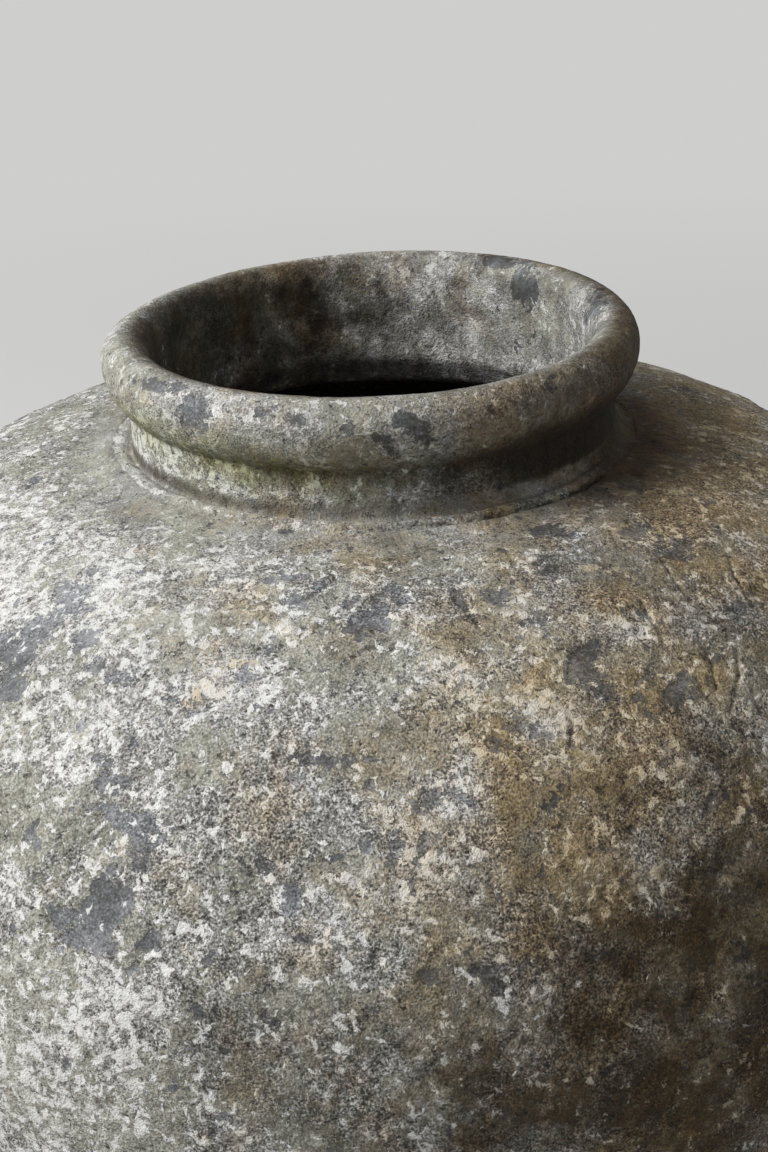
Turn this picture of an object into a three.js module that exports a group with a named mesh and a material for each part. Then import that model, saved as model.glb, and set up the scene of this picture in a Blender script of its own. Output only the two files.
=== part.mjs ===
// A large weathered storage jar, built the way a potter raises one by hand: a base slab, six wall
// courses luted on one another with slanting lap joints, a neck ring, a collar of clay pressed round
// the neck's foot, and a thick rolled rim. Millimetres, +Z up, the origin under the middle of the base.
import * as THREE from "three";

// Neck and rim
const mouthRadius = 91; // clear inside of the neck
const neckWall = 9; // thickness of the neck
const neckHeight = 22; // from the shoulder to the crease under the roll
const rimOverhang = 10; // how far the roll stands out over the neck
const rimBulge = 23; // bend of the roll's outer face, from the crease up to its widest line

// Collar, the band of clay pressed into the corner between neck and shoulder
const collarWidth = 8.5; // from the neck out to the collar's edge
const collarRise = 8; // how far the collar climbs the neck
const collarEdge = 1.6; // upright edge under the bead
const beadWidth = 4; // round bead along the collar's edge
const grooveDepth = 1.5; // hollow between the bead and the neck, below the bead's crest
const collarClearance = 0.3; // slip between the collar and the neck

// Body
const shoulderLedge = 1.5; // level ledge outside the collar, where the shoulder starts to fall
const shoulderRise = 160; // height of the shoulder above the jar's widest line
const bellyRadius = 270; // widest line of the jar
const bellyHeight = 242; // height of that line above the floor
const wallThickness = 12;
const throatRounding = 10; // rounded lower edge of the throat, inside the shoulder

// Foot
const footRadius = 128; // outer edge of the base
const footLean = THREE.MathUtils.degToRad(40); // lean of the wall from upright where it leaves the base
const footSweep = 0.35; // how far that lean and the upright belly each carry on, as a share of the wall
const baseThickness = 15;
const footBevel = 3; // worn edge of the base
const seamCoil = 13; // reach of the coil pressed into the inner corner between base and wall
const coilHollow = 0.4; // its face: flat at 0, pressed into the corner at 1
const coilClearance = 0.4;

// Lap joints between the courses
const courseNames = [
  "foot_course",
  "lower_wall_course",
  "lower_belly_course",
  "upper_belly_course",
  "lower_shoulder_course",
  "upper_shoulder_course",
];
const lap = 10; // how much higher along the wall each seam lies inside than outside
const slip = 0.4; // layer of slip in each seam, measured along the wall

// Fineness of the round and bent faces
const segments = 72;
const wallStep = 20; // longest stretch between two points of the wall's outline
const bendSteps = 6; // steps round each small bend

// Places that follow from the sizes above
const neckRadius = mouthRadius + neckWall;
const rimRadius = neckRadius + rimOverhang;
const collarRadius = neckRadius + collarWidth;
const shoulderStart = collarRadius + shoulderLedge;
const shoulderTop = bellyHeight + shoulderRise;
const neckTop = shoulderTop + neckHeight;
const bulgeTurn = Math.acos(1 - rimOverhang / rimBulge);
const rimHeight = neckTop + rimBulge * Math.sin(bulgeTurn);
const wallFoot = footRadius + baseThickness * Math.tan(footLean);
const innerFoot = wallFoot - wallThickness / Math.cos(footLean);

const point = (r, z) => new THREE.Vector2(r, z);

// Points along a stretch of arc; the angles run from the outward direction up
function arc(r, z, radius, from, to, steps = bendSteps) {
  const curve = new THREE.EllipseCurve(r, z, radius, radius, from, to, to < from);
  return curve.getPoints(steps);
}

// The outside of the wall: a swept bend from the base slab to the widest line, then the round shoulder
const foot = point(wallFoot, baseThickness);
const belly = point(bellyRadius, bellyHeight);
const sweep = footSweep * foot.distanceTo(belly);
const wall = new THREE.CurvePath();
wall.add(
  new THREE.CubicBezierCurve(
    foot,
    point(foot.x + sweep * Math.sin(footLean), foot.y + sweep * Math.cos(footLean)),
    point(belly.x, belly.y - sweep),
    belly,
  ),
);
const shoulderReach = bellyRadius - shoulderStart;
wall.add(
  new THREE.EllipseCurve(shoulderStart, bellyHeight, shoulderReach, shoulderRise, 0, Math.PI / 2),
);
const wallLength = wall.getLength();

// The point a given way up the wall, set inwards by depth square to it
function wallPoint(way, depth) {
  const share = way / wallLength;
  const lean = wall.getTangent(share);
  return wall.getPoint(share).add(point(-lean.y, lean.x).multiplyScalar(depth));
}

function wallLine(from, to, depth) {
  const steps = Math.max(2, Math.ceil((to - from) / wallStep));
  const ways = Array.from({ length: steps + 1 }, (_, i) => from + ((to - from) * i) / steps);
  return ways.map((way) => wallPoint(way, depth));
}

// Turns an outline round the jar's axis. It runs up the outer side and is closed here if it isn't yet.
function turned(name, outline, material) {
  const closed = outline[0].x === 0 ? outline : [...outline, outline[0].clone()];
  const geometry = new THREE.LatheGeometry(closed, segments);
  geometry.rotateX(Math.PI / 2);
  const mesh = new THREE.Mesh(geometry, material);
  mesh.name = name;
  return mesh;
}

const clay = (color, roughness) => new THREE.MeshStandardMaterial({ color, roughness, metalness: 0 });
const crustedClay = clay(0x8f8a7c, 0.95);
const paleCrust = clay(0xa19c8e, 0.95);
const mossyClay = clay(0x84826a, 0.95);
const bareClay = clay(0x6f675a, 0.9);

function baseSlab() {
  const outline = [
    point(0, 0),
    point(footRadius - footBevel, 0),
    point(footRadius + footBevel * Math.tan(footLean), footBevel),
    point(wallFoot, baseThickness),
    point(0, baseThickness),
  ];
  return turned("base_slab", outline, bareClay);
}

function baseSeamCoil() {
  const corner = point(innerFoot - coilClearance / Math.cos(footLean), baseThickness);
  const top = point(corner.x + seamCoil * Math.tan(footLean), baseThickness + seamCoil);
  const toe = point(corner.x - seamCoil, baseThickness);
  const pressed = point((top.x + toe.x) / 2, (top.y + toe.y) / 2).lerp(corner, coilHollow);
  const face = new THREE.QuadraticBezierCurve(top, pressed, toe).getPoints(bendSteps);
  return turned("base_seam_coil", [corner, ...face], bareClay);
}

// One course of the wall: up its outer face, in along its upper seam, and down its inner face
function course(index) {
  const first = index === 0;
  const last = index === courseNames.length - 1;
  const length = wallLength / courseNames.length;
  const from = first ? 0 : length * index + slip;
  const to = last ? wallLength : length * (index + 1);
  const outer = wallLine(from, to, 0);
  const inner = wallLine(first ? from : from + lap, last ? to : to + lap, wallThickness).reverse();
  const heel = first ? [point(innerFoot, baseThickness)] : [];
  const outline = [...outer, ...(last ? throatEdge() : []), ...inner, ...heel];
  return turned(courseNames[index], outline, last ? paleCrust : crustedClay);
}

// The shoulder's level top, in to the throat, and the throat's edge rounded down to the underside
function throatEdge() {
  const centre = shoulderTop - wallThickness + throatRounding;
  const rounding = arc(mouthRadius + throatRounding, centre, throatRounding, Math.PI, 1.5 * Math.PI);
  return [point(mouthRadius, shoulderTop), ...rounding];
}

function neckRing() {
  const outline = [
    point(neckRadius, shoulderTop),
    point(neckRadius, neckTop),
    point(mouthRadius, neckTop),
    point(mouthRadius, shoulderTop),
  ];
  return turned("neck_ring", outline, mossyClay);
}

// The collar rests on the shoulder's level top and hugs the neck: a bead at its edge, then a groove
function neckCollar() {
  const inner = neckRadius + collarClearance;
  const beadSpring = shoulderTop + collarEdge;
  const beadRadius = beadWidth / 2;
  const top = point(inner, shoulderTop + collarRise);
  const groove = point(
    (inner + collarRadius - beadWidth) / 2,
    beadSpring + beadRadius - grooveDepth,
  );
  const outline = [
    point(inner, shoulderTop),
    point(collarRadius, shoulderTop),
    ...arc(collarRadius - beadRadius, beadSpring, beadRadius, 0, 0.75 * Math.PI),
    ...new THREE.QuadraticBezierCurve(groove, point(inner, groove.y), top).getPoints(bendSteps / 2),
  ];
  return turned("neck_collar", outline, mossyClay);
}

// The roll: its outer face bulges over the crease, its top is round and its inside is flush with the neck
function rimRoll() {
  const topRadius = (rimRadius - mouthRadius) / 2;
  const outline = [
    ...arc(rimRadius - rimBulge, rimHeight, rimBulge, -bulgeTurn, 0),
    ...arc(rimRadius - topRadius, rimHeight, topRadius, 0, Math.PI, 2 * bendSteps).slice(1),
    point(mouthRadius, neckTop),
  ];
  return turned("rim_roll", outline, paleCrust);
}

const jar = new THREE.Group();
jar.add(baseSlab(), baseSeamCoil());
courseNames.forEach((_, index) => jar.add(course(index)));
jar.add(neckRing(), neckCollar(), rimRoll());

export default jar;
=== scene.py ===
"""A large weathered storage jar on a pale floor, seen from above its shoulder. Metres, +Z up."""

import math
from collections import namedtuple
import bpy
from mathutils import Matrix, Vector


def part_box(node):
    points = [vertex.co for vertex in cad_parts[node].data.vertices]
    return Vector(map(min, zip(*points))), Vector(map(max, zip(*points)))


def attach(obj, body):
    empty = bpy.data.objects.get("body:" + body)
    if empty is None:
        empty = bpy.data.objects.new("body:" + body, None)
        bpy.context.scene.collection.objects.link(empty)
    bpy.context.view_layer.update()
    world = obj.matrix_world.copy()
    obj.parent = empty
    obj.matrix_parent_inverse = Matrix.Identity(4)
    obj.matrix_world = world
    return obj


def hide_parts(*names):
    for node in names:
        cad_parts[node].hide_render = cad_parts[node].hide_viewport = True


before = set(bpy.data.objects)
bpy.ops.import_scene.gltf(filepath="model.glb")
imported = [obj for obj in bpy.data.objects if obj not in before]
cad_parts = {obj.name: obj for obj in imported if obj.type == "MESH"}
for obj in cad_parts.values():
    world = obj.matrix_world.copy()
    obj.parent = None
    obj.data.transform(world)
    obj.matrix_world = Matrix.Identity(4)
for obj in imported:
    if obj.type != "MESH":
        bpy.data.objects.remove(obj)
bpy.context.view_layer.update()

from concurrent.futures import ThreadPoolExecutor

import bpy
import numpy as np
from mathutils import Matrix

MM = 0.001

# Sizes that the frame gives
_, RIM_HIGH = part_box("rim_roll")
NECK_LOW, NECK_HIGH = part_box("neck_ring")
_, COLLAR_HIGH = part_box("neck_collar")
_, SLAB_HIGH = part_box("base_slab")

RIM_RADIUS = RIM_HIGH[0]
NECK_RADIUS = NECK_HIGH[0]
COLLAR_RADIUS = COLLAR_HIGH[0]
SHOULDER_TOP = NECK_LOW[2]
NECK_TOP = NECK_HIGH[2]
COLLAR_TOP = COLLAR_HIGH[2]
BASE_THICKNESS = SLAB_HIGH[2]
WALL_FOOT = SLAB_HIGH[0]

# Sizes of the solids that their boxes don't show
MOUTH_RADIUS = 0.091
RIM_BULGE = 0.023
SHOULDER_START = COLLAR_RADIUS + 0.0015
BELLY_RADIUS = 0.270
BELLY_HEIGHT = 0.242
WALL_THICKNESS = 0.012
THROAT_ROUNDING = 0.010
FOOT_RADIUS = 0.128
FOOT_BEVEL = 0.003
FOOT_LEAN = math.radians(40)
FOOT_SWEEP = 0.35
SEAM_COIL = 0.013
COIL_HOLLOW = 0.4
COIL_CLEARANCE = 0.0004
LAP = 0.010

# The collar as it is seen: a wider and softer bead than the solid's, with a shallow groove behind it
BEAD_WIDTH = 0.0062
COLLAR_EDGE = 0.0006
GROOVE_DEPTH = 0.0016
GROOVE_REACH = 0.0016

# How finely the surface is modelled
ROUND = 1280  # points round each seen row
COARSE = 4  # seen points to each point of an unlit row
ROW_SCALE = 1.0
# Row spacing along each stretch of the seen outline
GRAIN = {
    "base_slab": 0.002,
    "foot_course": 0.0024,
    "lower_wall_course": 0.0024,
    "lower_belly_course": 0.0018,
    "upper_belly_course": 0.00135,
    "lower_shoulder_course": 0.0013,
    "upper_shoulder_course": 0.0014,
    "neck_collar": 0.0006,
    "neck_ring": 0.0009,
    "rim_roll": 0.00096,
    "neck_inside": 0.0011,
    "throat": 0.003,
}
COURSES = tuple(name for name in GRAIN if name.endswith("_course"))
INSIDE_GRAIN = 0.006
COIL_GRAIN = 0.002
SOFTENING = 3  # rounds of softening along the outline

# Camera, as fitted to the photograph
PHOTO_WIDTH, PHOTO_HEIGHT = 768, 1152
FOCAL_PIXELS = 2200
SENSOR = 36.0
ROLL_CENTRE = np.array([0.0, 0.0, NECK_TOP + 0.019])
CAMERA_DISTANCE = 0.9097
CAMERA_RISE = math.radians(17.54)
CAMERA_PAN = math.radians(0.106)
CAMERA_TILT = math.radians(6.119)
CAMERA_ROLL = math.radians(-2.22)


def swung(first, second, angle):
    """Two directions turned in their own plane, the first towards the second."""
    c, s = math.cos(angle), math.sin(angle)
    return first * c + second * s, second * c - first * s


def right_and_up(forward):
    """The right and up directions of something that looks forward and stands level."""
    right = np.cross(forward, (0, 0, 1))
    right /= np.linalg.norm(right)
    return right, np.cross(right, forward)


def camera_axes():
    """The camera's place, and its right, up and forward directions."""
    place = ROLL_CENTRE + CAMERA_DISTANCE * np.array([0, -math.cos(CAMERA_RISE), math.sin(CAMERA_RISE)])
    forward = (ROLL_CENTRE - place) / CAMERA_DISTANCE
    right, up = right_and_up(forward)
    forward, right = swung(forward, right, CAMERA_PAN)
    up, forward = swung(up, forward, CAMERA_TILT)
    right, up = swung(right, up, CAMERA_ROLL)
    return place, right, up, forward


# Noise
_shuffle = np.random.default_rng(7)
LATTICE = _shuffle.permutation(256).astype(np.int32)
_directions = _shuffle.normal(size=(256, 3))
_directions /= np.linalg.norm(_directions, axis=1, keepdims=True)
LEAN_X, LEAN_Y, LEAN_Z = (_directions * 1.6).astype(np.float32).T.copy()
CHUNK = 1 << 15


def _noise_chunk(places):
    cell = np.floor(places)
    part = places - cell
    cell = cell.astype(np.int32)
    ease = part * part * part * (part * (part * 6 - 15) + 10)
    total = np.zeros(len(places), np.float32)
    for x in (0, 1):
        along_x = LATTICE[(cell[:, 0] + x) & 255]
        weight_x = ease[:, 0] if x else 1 - ease[:, 0]
        for y in (0, 1):
            along_y = LATTICE[(along_x + cell[:, 1] + y) & 255]
            weight_y = weight_x * (ease[:, 1] if y else 1 - ease[:, 1])
            for z in (0, 1):
                at = LATTICE[(along_y + cell[:, 2] + z) & 255]
                slope = LEAN_X[at] * (part[:, 0] - x) + LEAN_Y[at] * (part[:, 1] - y)
                slope += LEAN_Z[at] * (part[:, 2] - z)
                total += weight_y * (ease[:, 2] if z else 1 - ease[:, 2]) * slope
    return total


def noise(places, size, seed, octaves=1, gain=0.5):
    """Gradient noise between about -1 and 1, whose largest features are about size across.

    Each pattern has a seed of its own, so the order of the calls doesn't matter."""
    total = np.zeros(len(places), np.float32)
    weight, reach = 1.0, 0.0
    with ThreadPoolExecutor(4) as pool:
        for octave in range(octaves):
            shift = np.array([17.3, 5.1, 11.7]) * (seed + 1) + 3.7 * octave
            spots = (places * (2**octave / size) + shift).astype(np.float32)
            chunks = [spots[i : i + CHUNK] for i in range(0, len(spots), CHUNK)]
            total += weight * np.concatenate(list(pool.map(_noise_chunk, chunks)))
            reach += weight
            weight *= gain
    return total / reach


def step(value, low, high):
    """0 up to low, 1 from high on, smooth between. It falls where high is the smaller."""
    share = np.clip((value - low) / (high - low), 0, 1)
    return share * share * (3 - 2 * share)


# The jar's outline
def line(start, end, count=2):
    return np.linspace(start, end, count)


def arc(centre, radius, start, end, count=40):
    angle = np.linspace(start, end, count)
    return np.stack([centre[0] + radius * np.cos(angle), centre[1] + radius * np.sin(angle)], 1)


def bend(a, b, c, d, count=200):
    """A cubic curve from a to d."""
    t = np.linspace(0, 1, count)[:, None]
    return (1 - t) ** 3 * a + 3 * t * (1 - t) ** 2 * b + 3 * t * t * (1 - t) * c + t**3 * d


def drawn(a, corner, b):
    """A curve from a to b that is drawn towards a corner."""
    return bend(a, (a + 2 * corner) / 3, (2 * corner + b) / 3, b)


def ways(points):
    """The way along a line to each of its points."""
    return np.concatenate([[0], np.cumsum(np.hypot(*np.diff(points, axis=0).T))])


def resampled(points, spacing):
    """The same line with evenly spaced points."""
    way = ways(points)
    count = max(2, round(way[-1] / (spacing * ROW_SCALE)))
    at = np.linspace(0, way[-1], count + 1)
    return np.stack([np.interp(at, way, points[:, i]) for i in (0, 1)], 1)


def wall_lines():
    """The outside of the wall from the base to the ledge, and its inside at the same places."""
    foot = np.array([WALL_FOOT, BASE_THICKNESS])
    belly = np.array([BELLY_RADIUS, BELLY_HEIGHT])
    sweep = FOOT_SWEEP * np.linalg.norm(belly - foot)
    lean = np.array([math.sin(FOOT_LEAN), math.cos(FOOT_LEAN)])
    lower = bend(foot, foot + sweep * lean, belly - (0, sweep), belly)
    turn = np.linspace(0, math.pi / 2, 300)
    radii = SHOULDER_START + (BELLY_RADIUS - SHOULDER_START) * np.cos(turn)
    heights = BELLY_HEIGHT + (SHOULDER_TOP - BELLY_HEIGHT) * np.sin(turn)
    outside = np.concatenate([lower, np.stack([radii, heights], 1)[1:]])
    along = np.gradient(outside, axis=0)
    along /= np.linalg.norm(along, axis=1, keepdims=True)
    inside = outside + WALL_THICKNESS * np.stack([-along[:, 1], along[:, 0]], 1)
    return outside, inside


def part_of(points, low, high):
    """The stretch of a line between two shares of its length."""
    way = ways(points)
    way /= way[-1]
    middle = points[(way > low) & (way < high)]
    ends = [[np.interp(at, way, points[:, i]) for i in (0, 1)] for at in (low, high)]
    return np.concatenate([[ends[0]], middle, [ends[1]]])


def outside_stretches():
    """The whole seen outline, from under the foot, up, over the rim and down into the throat."""
    bevel_top = FOOT_RADIUS + FOOT_BEVEL * math.tan(FOOT_LEAN)
    slab = ((FOOT_RADIUS - FOOT_BEVEL, 0), (bevel_top, FOOT_BEVEL), (WALL_FOOT, BASE_THICKNESS))
    stretches = {"base_slab": np.array(slab)}

    wall, _ = wall_lines()
    collar_foot = (COLLAR_RADIUS, SHOULDER_TOP)
    for index, course in enumerate(COURSES):
        stretches[course] = part_of(wall, index / len(COURSES), (index + 1) / len(COURSES))
    stretches[course] = np.concatenate([stretches[course], [collar_foot]])

    spring = SHOULDER_TOP + COLLAR_EDGE
    bead = BEAD_WIDTH / 2
    groove = np.array([NECK_RADIUS + GROOVE_REACH, spring + bead - GROOVE_DEPTH])
    top = np.array([NECK_RADIUS, COLLAR_TOP])
    corner = np.array([NECK_RADIUS, groove[1]])
    stretches["neck_collar"] = np.concatenate(
        [
            [collar_foot],
            arc((COLLAR_RADIUS - bead, spring), bead, 0, 0.75 * math.pi),
            drawn(groove, corner, top),
        ]
    )
    stretches["neck_ring"] = line((NECK_RADIUS, COLLAR_TOP), (NECK_RADIUS, NECK_TOP))

    turn = math.acos(1 - (RIM_RADIUS - NECK_RADIUS) / RIM_BULGE)
    height = NECK_TOP + RIM_BULGE * math.sin(turn)
    half = (RIM_RADIUS - MOUTH_RADIUS) / 2
    stretches["rim_roll"] = np.concatenate(
        [
            arc((RIM_RADIUS - RIM_BULGE, height), RIM_BULGE, -turn, 0),
            arc((RIM_RADIUS - half, height), half, 0, math.pi)[1:],
            [(MOUTH_RADIUS, NECK_TOP)],
        ]
    )
    stretches["neck_inside"] = line((MOUTH_RADIUS, NECK_TOP), (MOUTH_RADIUS, SHOULDER_TOP))
    underside = SHOULDER_TOP - WALL_THICKNESS
    centre = (MOUTH_RADIUS + THROAT_ROUNDING, underside + THROAT_ROUNDING)
    stretches["throat"] = np.concatenate(
        [
            [(MOUTH_RADIUS, SHOULDER_TOP)],
            arc(centre, THROAT_ROUNDING, math.pi, 1.5 * math.pi),
            [(SHOULDER_START, underside)],
        ]
    )
    return stretches


class Outline:
    """Points of the seen outline, and which of them belong to each piece."""

    def __init__(self, stretches):
        self.rows = {}
        points = []
        for name, stretch in stretches.items():
            shared = bool(points)  # each stretch but the first starts on the row where the last one ends
            first = len(points) - shared
            points.extend(resampled(stretch, GRAIN[name])[shared:])
            self.rows[name] = slice(first, len(points))
        points = np.array(points)
        for _ in range(SOFTENING):
            points[1:-1] = points[1:-1] / 2 + (points[:-2] + points[2:]) / 4
        self.points = points
        self.way = ways(points)

    def start(self, name):
        return self.way[self.rows[name].start]

    def end(self, name):
        return self.way[self.rows[name].stop - 1]


def turned(points, count):
    """Rows of places round the axis, the first column at the back."""
    angle = -math.pi + 2 * math.pi * np.arange(count) / count
    radius, height = points[:, :1], np.broadcast_to(points[:, 1:], (len(points), count))
    return np.stack([radius * np.sin(angle), -radius * np.cos(angle), height], 2)


def facing(grid):
    """Outward directions of a grid of rows round the axis."""
    round_it = np.roll(grid, -1, axis=1) - np.roll(grid, 1, axis=1)
    up_it = np.gradient(grid, axis=0)
    normal = np.cross(round_it, up_it)
    return normal / np.maximum(np.linalg.norm(normal, axis=2, keepdims=True), 1e-12)


# Marks seen in the photograph
# Each is x, y, half width and half height in its pixels, and a turn in degrees where it has one
BARE_PATCHES = (
    (72, 604, 15, 11, -30), (42, 625, 30, 13, -40), (14, 655, 18, 26), (10, 690, 16, 10),
    (84, 637, 10, 14, 10), (127, 656, 8, 6), (118, 673, 15, 8, -10), (95, 668, 10, 6, -10),
    (184, 703, 9, 11, 20), (171, 693, 7, 7), (247, 675, 9, 4, 10), (299, 578, 10, 4),
    (318, 583, 9, 4, -15), (300, 593, 12, 4, -15), (368, 618, 18, 22, 30), (391, 598, 14, 12),
    (264, 649, 9, 4), (296, 762, 15, 8, 10), (289, 781, 11, 5, -10), (331, 764, 12, 5),
    (358, 762, 13, 5, -10), (102, 757, 10, 8, 20), (101, 778, 4, 14, 15), (135, 742, 7, 5, -30),
    (119, 782, 12, 7, -10), (105, 808, 24, 8), (137, 824, 36, 16, 10), (146, 850, 12, 28),
    (118, 895, 17, 24), (100, 920, 26, 22, -20), (74, 917, 16, 13), (84, 940, 24, 12, -10),
    (106, 953, 12, 9), (152, 937, 8, 11), (135, 964, 8, 7), (289, 893, 9, 14), (206, 960, 10, 6),
    (228, 971, 10, 8), (264, 858, 9, 9), (326, 861, 20, 7), (306, 939, 11, 9), (423, 805, 12, 9, -20),
    (399, 853, 7, 16), (427, 858, 5, 15), (419, 882, 6, 10), (489, 973, 18, 9), (528, 973, 14, 8),
    (438, 981, 9, 7), (504, 995, 12, 11), (462, 605, 7, 12, -20), (479, 624, 4, 8, -35), (499, 595, 8, 5),
    (639, 534, 15, 6, -10), (673, 553, 24, 12), (533, 617, 18, 8), (629, 607, 14, 7), (597, 649, 9, 8),
    (585, 670, 18, 19), (604, 695, 10, 10), (538, 732, 16, 6), (509, 730, 5, 6), (494, 749, 8, 5),
    (680, 693, 18, 15), (744, 615, 16, 5, -10), (715, 656, 8, 5), (548, 537, 24, 9), (550, 568, 12, 8),
    (404, 654, 8, 6), (754, 816, 8, 5), (595, 956, 10, 8),
)
RIM_CHIPS = (
    (154, 384, 18, 7, 10), (194, 408, 18, 17, 20), (268, 413, 7, 4), (303, 424, 7, 5),
    (412, 425, 11, 8, -10), (427, 436, 8, 9), (388, 448, 8, 5), (352, 432, 5, 4), (378, 444, 6, 5),
    (168, 383, 6, 4), (487, 412, 6, 4), (546, 388, 4, 4), (527, 285, 12, 16, -10), (497, 262, 16, 5, 5),
    (590, 303, 8, 12, 10),
)
CREAM_PLAQUES = (
    (270, 620, 6, 9, 20), (290, 630, 14, 6, 25), (282, 622, 10, 5), (197, 690, 6, 7, 20), (658, 868, 6, 7),
    (673, 870, 4, 4), (732, 882, 6, 4), (614, 490, 7, 3, 10), (626, 498, 8, 4, 30), (597, 566, 12, 3),
    (190, 682, 9, 4, 30), (240, 662, 12, 3, 10),
)
# Soft marks start with their strength
LIME_DRIFTS = (
    (0.4, 30, 560, 90, 60), (0.32, 120, 590, 80, 40, -20), (0.25, 240, 575, 110, 22),
    (0.22, 180, 630, 70, 30), (0.34, 40, 740, 80, 60), (0.72, 30, 1030, 80, 90), (0.42, 110, 990, 70, 40),
    (0.55, 70, 1110, 70, 50), (0.75, 112, 862, 20, 13), (-0.1, 330, 1100, 90, 60),
    (-0.35, 230, 1060, 60, 40), (-0.2, 250, 930, 60, 40), (0.35, 420, 555, 70, 12),
    (0.3, 520, 550, 30, 14), (0.05, 430, 700, 60, 40), (0.2, 410, 990, 40, 120), (0.38, 620, 865, 60, 20),
    (0.25, 580, 905, 50, 20), (0.36, 570, 710, 60, 60), (0.18, 660, 620, 60, 40), (0.1, 210, 800, 60, 40),
    (0.2, 380, 880, 60, 40), (-0.3, 700, 1000, 120, 130), (-0.25, 600, 1080, 100, 90),
    (-0.3, 180, 545, 50, 10), (-0.45, 345, 552, 120, 7), (-0.4, 480, 540, 80, 6, -8),
    (-0.15, 60, 860, 60, 50), (0.22, 60, 640, 150, 130), (0.12, 330, 600, 80, 50),
    (-0.32, 190, 740, 60, 50), (-0.1, 330, 740, 70, 60), (-0.2, 470, 610, 60, 40),
    (-0.25, 110, 900, 50, 60),
)
WARM_DRIFTS = (
    (0.45, 520, 830, 90, 80), (0.45, 465, 950, 30, 16), (0.55, 543, 941, 30, 26),
    (0.75, 275, 620, 30, 14, 20), (0.55, 190, 690, 14, 22, 30), (0.5, 250, 820, 30, 25),
    (0.45, 700, 520, 80, 50), (0.5, 725, 450, 60, 50), (0.3, 640, 760, 90, 70), (0.25, 200, 900, 60, 30),
    (0.2, 300, 950, 70, 60), (0.15, 420, 760, 80, 50), (0.35, 230, 610, 20, 10), (0.25, 60, 860, 40, 40),
    (0.45, 620, 430, 60, 30), (0.25, 350, 1060, 60, 60), (0.16, 300, 900, 170, 150),
    (0.45, 330, 1120, 20, 20), (0.15, 480, 700, 60, 50),
)
# Drifts of soot; towards the right and the bottom they are partly painted shade, where the light falls off
DARK_DRIFTS = (
    (0.75, 800, 1010, 190, 220), (0.55, 640, 1140, 200, 130), (0.35, 760, 860, 90, 120),
    (0.25, 600, 1020, 110, 90), (0.25, 690, 700, 70, 100), (0.08, 640, 800, 90, 50),
    (0.4, 420, 1130, 130, 80), (0.12, 600, 920, 110, 60), (0.32, 560, 560, 50, 30),
    (0.32, 280, 1040, 60, 50), (0.2, 700, 590, 90, 40), (0.32, 180, 1080, 60, 60),
    (0.26, 60, 1060, 90, 90), (0.2, 600, 470, 40, 30), (0.16, 725, 450, 60, 50), (0.6, 640, 440, 50, 45),
    (0.35, 595, 664, 22, 16), (0.35, 602, 700, 20, 16),
)
CALM_DRIFTS = (
    (0.7, 640, 445, 55, 45), (0.4, 110, 470, 30, 50), (0.5, 600, 552, 30, 14), (0.32, 60, 640, 150, 130),
    (0.15, 210, 640, 120, 90),
)
FLAKE_ZONES = (
    (1.0, 262, 880, 40, 50), (0.8, 180, 935, 30, 30), (0.6, 220, 830, 40, 30),
)
# Narrow cracks and the feet of flakes, sunk in and painted dark, partly as the shade in them: half width,
# then x and y of each point along them
FISSURES = (
    (2.6, 697, 681, 710, 700, 722, 722, 745, 735, 768, 741), (2.2, 105, 769, 99, 785, 91, 798),
    (2.6, 455, 597, 468, 612, 481, 629), (1.6, 300, 600, 317, 592, 334, 578),
    (1.6, 316, 631, 330, 622, 347, 617, 362, 632), (1.6, 355, 655, 372, 647, 392, 637),
    (1.8, 251, 642, 257, 652, 280, 656), (1.6, 488, 650, 499, 661, 513, 658),
    (2.0, 640, 600, 655, 622, 664, 640), (1.8, 236, 846, 250, 870, 262, 905),
    (1.8, 150, 655, 168, 668, 176, 690), (1.8, 268, 900, 280, 922, 300, 930),
    (2.0, 583, 540, 600, 533, 612, 536), (2.2, 698, 636, 712, 662, 718, 690),
    (2.2, 736, 648, 741, 676, 730, 712), (2.0, 752, 690, 760, 712, 775, 724),
    (1.8, 660, 560, 676, 584, 690, 600), (1.8, 728, 560, 740, 590, 758, 612),
    (1.8, 560, 700, 574, 722, 570, 748), (1.6, 420, 690, 430, 712, 426, 730),
    (1.6, 30, 700, 46, 716, 50, 742),
)
# How open the crack under the collar is, against the photograph's x
CRACK_AT = (340, 380, 425, 470, 495, 540, 590, 606)
CRACK_OPEN = (0.0, 0.25, 0.30, 0.25, 0.65, 1.0, 0.9, 0.0)
CRACK_HALF = 0.0011  # its half width along the outline
EDGE_PIXELS = 13  # how far inside a patch's edge its depth is 1
NOWHERE = -1.5  # the depth far outside every patch


def near(value, middle, reach):
    """1 at the middle, falling to 0 a little beyond the reach."""
    return np.exp(-(((value - middle) / reach) ** 2))


def offsets(x, y, middle_x, middle_y, wide, high, turn=0):
    """How far each place lies across and down from a mark's middle, in its half widths and heights."""
    c, s = math.cos(math.radians(turn)), math.sin(math.radians(turn))
    across = ((x - middle_x) * c + (y - middle_y) * s) / wide
    down = ((y - middle_y) * c - (x - middle_x) * s) / high
    return across, down


def patches(x, y, marks):
    """How deep each place lies in the nearest mark: 0 on its edge, less outside."""
    depth = np.full(x.shape, NOWHERE, np.float32)
    for mark in marks:
        size = math.sqrt(mark[2] * mark[3])
        np.maximum(depth, (1 - np.hypot(*offsets(x, y, *mark))) * size / EDGE_PIXELS, out=depth)
    return depth


def drifts(x, y, marks):
    """The marks' strengths added up, each fading out from its middle."""
    total = np.zeros(x.shape, np.float32)
    for strength, *mark in marks:
        across, down = offsets(x, y, *mark)
        total += strength * np.exp(-0.7 * (across**2 + down**2))
    return total


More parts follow.
